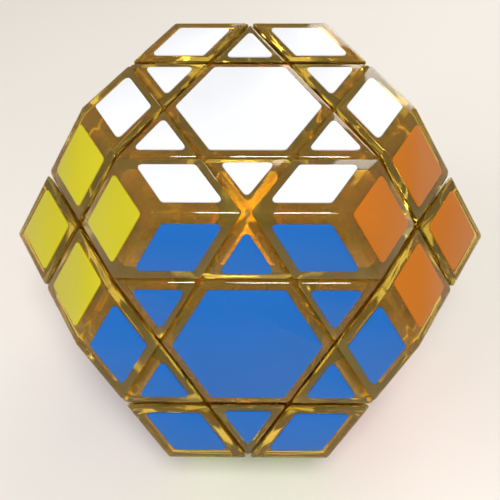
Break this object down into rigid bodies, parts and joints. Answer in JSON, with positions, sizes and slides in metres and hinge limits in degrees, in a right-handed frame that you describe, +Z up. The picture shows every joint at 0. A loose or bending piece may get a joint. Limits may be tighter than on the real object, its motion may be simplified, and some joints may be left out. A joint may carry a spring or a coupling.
{
  "type": "twisty puzzle",
  "caption": "Truncated-octahedron twisty puzzle in clear amber plastic whose hexagonal and square face layers turn about a screwed core.",
  "frame": {"origin": "middle of the bottom hexagonal face, on its stickers, where the puzzle stands", "axes": "+Z up through the top hexagonal face; -Y towards the upper front hexagonal face; +X to the right"},
  "size_m": [0.0722, 0.0694, 0.0593],
  "materials": {
    "clear_plastic": "gloss",
    "core_plastic": "satin",
    "screw_steel": "satin",
    "spring_steel": "satin",
    "sticker_white": "satin",
    "sticker_blue": "satin",
    "sticker_yellow": "satin",
    "sticker_orange": "satin",
    "sticker_red": "satin",
    "sticker_green": "satin",
    "sticker_purple": "satin",
    "sticker_pink": "satin",
    "sticker_grey": "satin",
    "sticker_black": "satin",
    "sticker_sky": "satin",
    "sticker_brown": "satin",
    "sticker_magenta": "satin",
    "sticker_lime": "satin"
  },
  "bodies": {
    "frame": {"corner_upper_left_back_left_front_left": "clear_plastic", "corner_upper_left_front_front_left": "clear_plastic", "corner_upper_right_back_right_front_right": "clear_plastic", "corner_upper_right_front_front_right": "clear_plastic", "corner_upper_back_back_right_back": "clear_plastic", "corner_upper_back_back_left_back": "clear_plastic", "edge_back_left_front_left": "clear_plastic", "edge_front_front_left": "clear_plastic", "edge_back_right_front_right": "clear_plastic", "edge_front_front_right": "clear_plastic", "edge_back_right_back": "clear_plastic", "edge_back_left_back": "clear_plastic", "edge_back_bottom": "clear_plastic", "edge_front_right_bottom": "clear_plastic", "edge_front_left_bottom": "clear_plastic", "wedges_frame": "clear_plastic", "stickers_frame": "sticker_blue", "square_centre_frame": "clear_plastic", "hexagon_centres_frame": "clear_plastic", "caps_frame": "clear_plastic", "core": "core_plastic", "hexagon_screws": "screw_steel", "square_screws": "screw_steel", "springs": "spring_steel"},
    "top_layer": {"corner_upper_left_top_front": "clear_plastic", "corner_upper_left_top_back_left": "clear_plastic", "corner_upper_right_top_front": "clear_plastic", "corner_upper_right_top_back_right": "clear_plastic", "corner_upper_back_top_back_left": "clear_plastic", "corner_upper_back_top_back_right": "clear_plastic", "edge_top_front": "clear_plastic", "edge_top_back_left": "clear_plastic", "edge_top_back_right": "clear_plastic", "wedges_top_layer": "clear_plastic", "stickers_top_layer": "sticker_white", "hexagon_centre_top_layer": "clear_plastic", "cap_top_layer": "clear_plastic"},
    "lower_right_layer": {"corner_lower_right_back_right_front_right": "clear_plastic", "corner_lower_right_back_right_back": "clear_plastic", "corner_lower_right_back_bottom": "clear_plastic", "corner_lower_right_front_right_bottom": "clear_plastic", "wedges_lower_right_layer": "clear_plastic", "stickers_lower_right_layer": "sticker_brown", "square_centre_lower_right_layer": "clear_plastic"},
    "lower_left_layer": {"corner_lower_left_back_left_front_left": "clear_plastic", "corner_lower_left_back_left_back": "clear_plastic", "corner_lower_left_back_bottom": "clear_plastic", "corner_lower_left_front_left_bottom": "clear_plastic", "wedges_lower_left_layer": "clear_plastic", "stickers_lower_left_layer": "sticker_magenta", "square_centre_lower_left_layer": "clear_plastic"},
    "lower_front_layer": {"corner_lower_front_front_front_left": "clear_plastic", "corner_lower_front_front_front_right": "clear_plastic", "corner_lower_front_front_right_bottom": "clear_plastic", "corner_lower_front_front_left_bottom": "clear_plastic", "wedges_lower_front_layer": "clear_plastic", "stickers_lower_front_layer": "sticker_lime", "square_centre_lower_front_layer": "clear_plastic"}
  },
  "joints": [
    {"name": "top_turn", "type": "hinge", "parent": "frame", "child": "top_layer", "pos_m": [0, 0, 0.02964], "axis": [0, 0, 1], "continuous": true},
    {"name": "lower_right_turn", "type": "hinge", "parent": "frame", "child": "lower_right_layer", "pos_m": [0, 0, 0.02964], "axis": [0.7071, 0.4082, -0.5774], "continuous": true},
    {"name": "lower_left_turn", "type": "hinge", "parent": "frame", "child": "lower_left_layer", "pos_m": [0, 0, 0.02964], "axis": [-0.7071, 0.4082, -0.5774], "continuous": true},
    {"name": "lower_front_turn", "type": "hinge", "parent": "frame", "child": "lower_front_layer", "pos_m": [0, 0, 0.02964], "axis": [0, -0.8165, -0.5774], "continuous": true}
  ]
}
